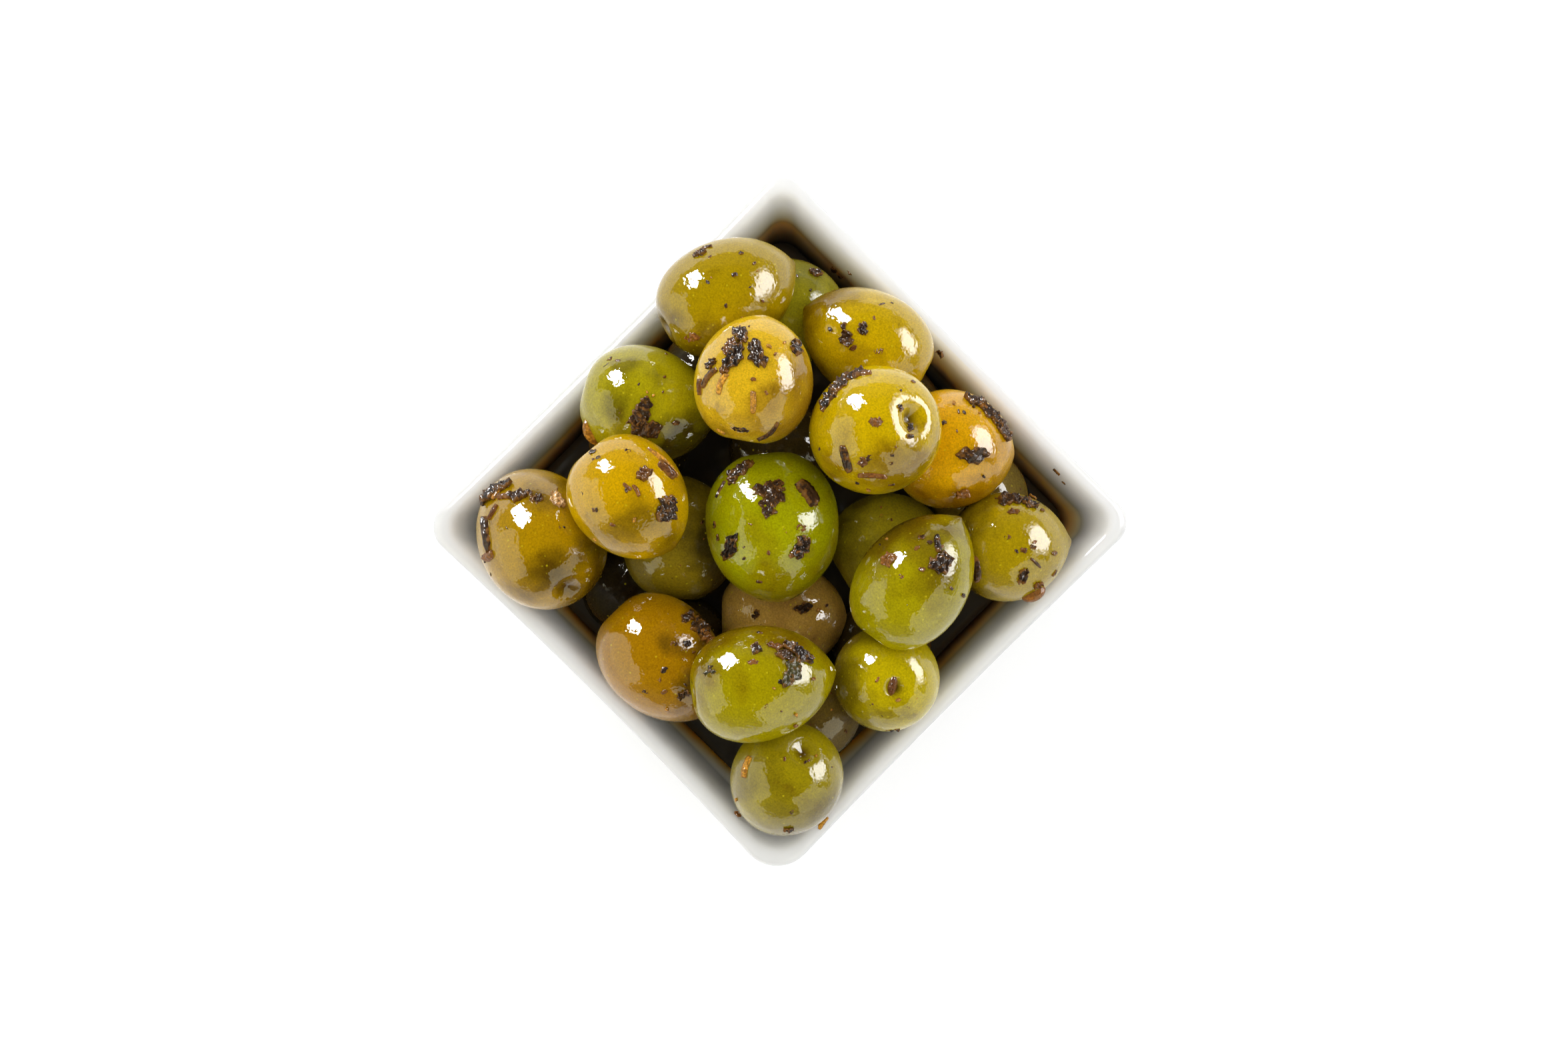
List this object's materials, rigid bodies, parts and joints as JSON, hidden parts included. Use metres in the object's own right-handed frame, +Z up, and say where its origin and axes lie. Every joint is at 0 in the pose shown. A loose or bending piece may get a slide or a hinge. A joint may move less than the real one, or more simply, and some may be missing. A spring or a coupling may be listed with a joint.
{
  "type": "bowl of olives",
  "caption": "Small square white porcelain dip dish heaped with whole green olives in oil, scattered with dried herb flakes.",
  "frame": {"origin": "centre of the dish's foot, at the middle of the whole object's outline in plan", "axes": "+Z up; +X and +Y square to the dish's sides; the dish is served standing on its corner, with the corner at +X,-Y towards the viewer"},
  "size_m": [0.0809, 0.0812, 0.0748],
  "materials": {
    "porcelain": "clear glossy glaze on white porcelain",
    "olives": "wet and oily olive skin",
    "herbs": "dried herb flakes wetted with oil"
  },
  "bodies": {
    "root": {"bowl": "porcelain", "olives": "olives"}
  },
  "joints": []
}
